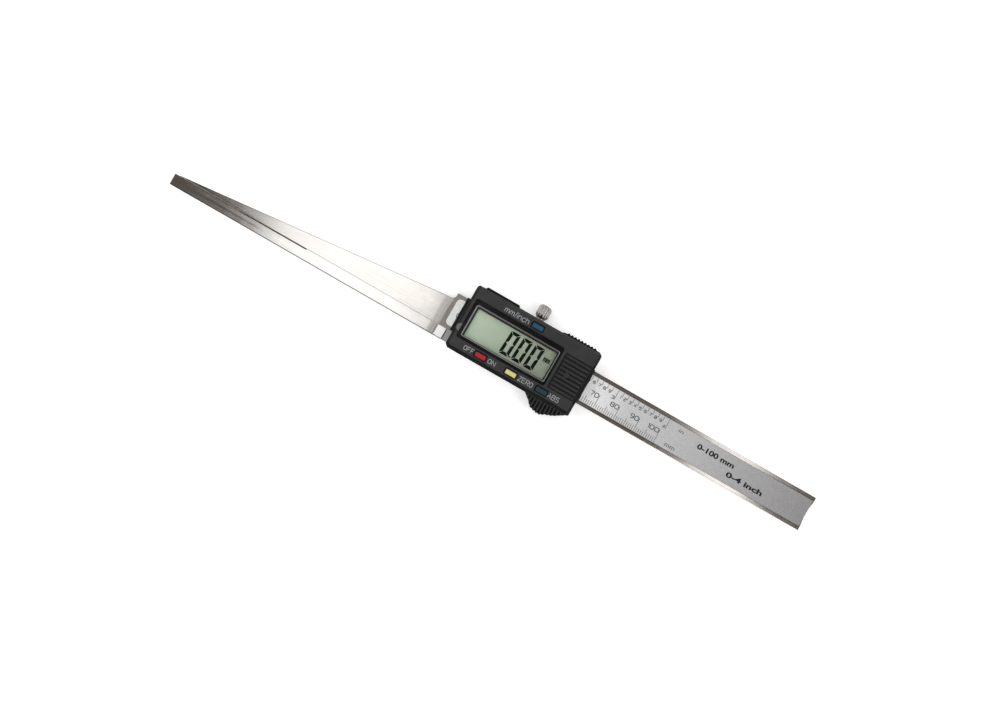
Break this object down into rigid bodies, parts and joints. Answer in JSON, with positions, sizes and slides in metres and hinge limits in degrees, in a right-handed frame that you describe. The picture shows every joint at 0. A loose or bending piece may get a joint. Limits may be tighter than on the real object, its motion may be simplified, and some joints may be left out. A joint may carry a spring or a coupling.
{
  "type": "digital wedge caliper",
  "caption": "Digital gap caliper: a slider with display and long feeler strip runs on a steel beam that ends in a long thin wedge.",
  "frame": {"origin": "on the slider's flat back, on the beam's centre line, under the lock screw, at the reading 0.00", "axes": "+X along the beam towards the high end of the scale, +Y across it towards the lock screw, +Z out of the display"},
  "size_m": [0.3106, 0.0427, 0.0155],
  "materials": {
    "beam_steel": "fine brushed, satin",
    "strip_steel": "fine brushed, satin",
    "scale_laminate": "etched glass-fibre laminate",
    "scale_print": "silver-grey speckled foil with printed ticks",
    "frame_steel": "ground, dull",
    "cover_steel": "fine brushed",
    "screw_steel": "machined",
    "gib_brass": "plain",
    "nickel": "straight-knurled, warm nickel plate",
    "board_green": "solder resist",
    "electrode_board": "solder resist with copper electrodes",
    "spring_steel": "bright",
    "carrier_white": "moulded",
    "lcd_face": "grey-green liquid crystal with black segments",
    "elastomer": "layered",
    "clear_window": "clear",
    "bezel_black": "gloss",
    "trim_silver": "satin silver print",
    "housing_black": "satin moulded",
    "key_red": "moulded",
    "key_yellow": "moulded",
    "key_teal": "moulded",
    "key_blue": "moulded",
    "cell_steel": "nickel-plated can",
    "cover_black": "satin moulded, ribbed",
    "grip_black": "satin moulded, ribbed",
    "wiper_black": "matt"
  },
  "bodies": {
    "beam": {"beam_wedge": "beam_steel", "scale_board": "scale_laminate", "scale_label": "scale_print", "end_stop": "cover_steel", "end_stop_screws": "screw_steel"},
    "slider": {"slider_frame": "frame_steel", "feeler_strip": "strip_steel", "strip_screws": "screw_steel", "gib_strip": "gib_brass", "gib_screws": "screw_steel", "rear_cover": "cover_steel", "rear_cover_screws": "screw_steel", "sensor_plate": "electrode_board", "circuit_board": "board_green", "key_domes": "spring_steel", "lcd_carrier": "carrier_white", "lcd_panel": "lcd_face", "lcd_contact_strip": "elastomer", "display_window": "clear_window", "display_bezel": "bezel_black", "display_frame": "trim_silver", "front_housing": "housing_black", "housing_screws": "screw_steel", "battery": "cell_steel", "battery_contact_plus": "spring_steel", "battery_contact_minus": "spring_steel", "thumb_grip": "grip_black", "wiper_left": "wiper_black", "wiper_right": "wiper_black"},
    "lock_pad": {"lock_pad": "gib_brass"},
    "lock_screw": {"lock_screw": "nickel"},
    "battery_cover": {"battery_cover": "cover_black"},
    "button_power": {"button_power": "key_red"},
    "button_zero": {"button_zero": "key_yellow"},
    "button_abs": {"button_abs": "key_teal"},
    "button_units": {"button_units": "key_blue"}
  },
  "joints": [
    {"name": "slider_slide", "type": "slide", "parent": "beam", "child": "slider", "axis": [1, 0, 0], "range_m": [0, 0.1]},
    {"name": "lock_feed", "type": "slide", "parent": "slider", "child": "lock_pad", "axis": [0, -1, 0], "range_m": [0, 0.00025]},
    {"name": "lock_turn", "type": "hinge", "parent": "lock_pad", "child": "lock_screw", "pos_m": [0, 0.0191, 0.00305], "axis": [0, -1, 0], "range_deg": [0, 180]},
    {"name": "battery_cover_slide", "type": "slide", "parent": "slider", "child": "battery_cover", "axis": [1, 0, 0], "range_m": [0, 0.0145]},
    {"name": "button_power_press", "type": "slide", "parent": "slider", "child": "button_power", "axis": [0, 0, -1], "range_m": [0, 0.0004], "stiffness_N_per_m": 400},
    {"name": "button_zero_press", "type": "slide", "parent": "slider", "child": "button_zero", "axis": [0, 0, -1], "range_m": [0, 0.0004], "stiffness_N_per_m": 400},
    {"name": "button_abs_press", "type": "slide", "parent": "slider", "child": "button_abs", "axis": [0, 0, -1], "range_m": [0, 0.0004], "stiffness_N_per_m": 400},
    {"name": "button_units_press", "type": "slide", "parent": "slider", "child": "button_units", "axis": [0, 0, -1], "range_m": [0, 0.0004], "stiffness_N_per_m": 400}
  ],
  "couplings": [
    {"joint": "lock_turn", "follows": "lock_feed", "rad_per_m": 12566}
  ]
}
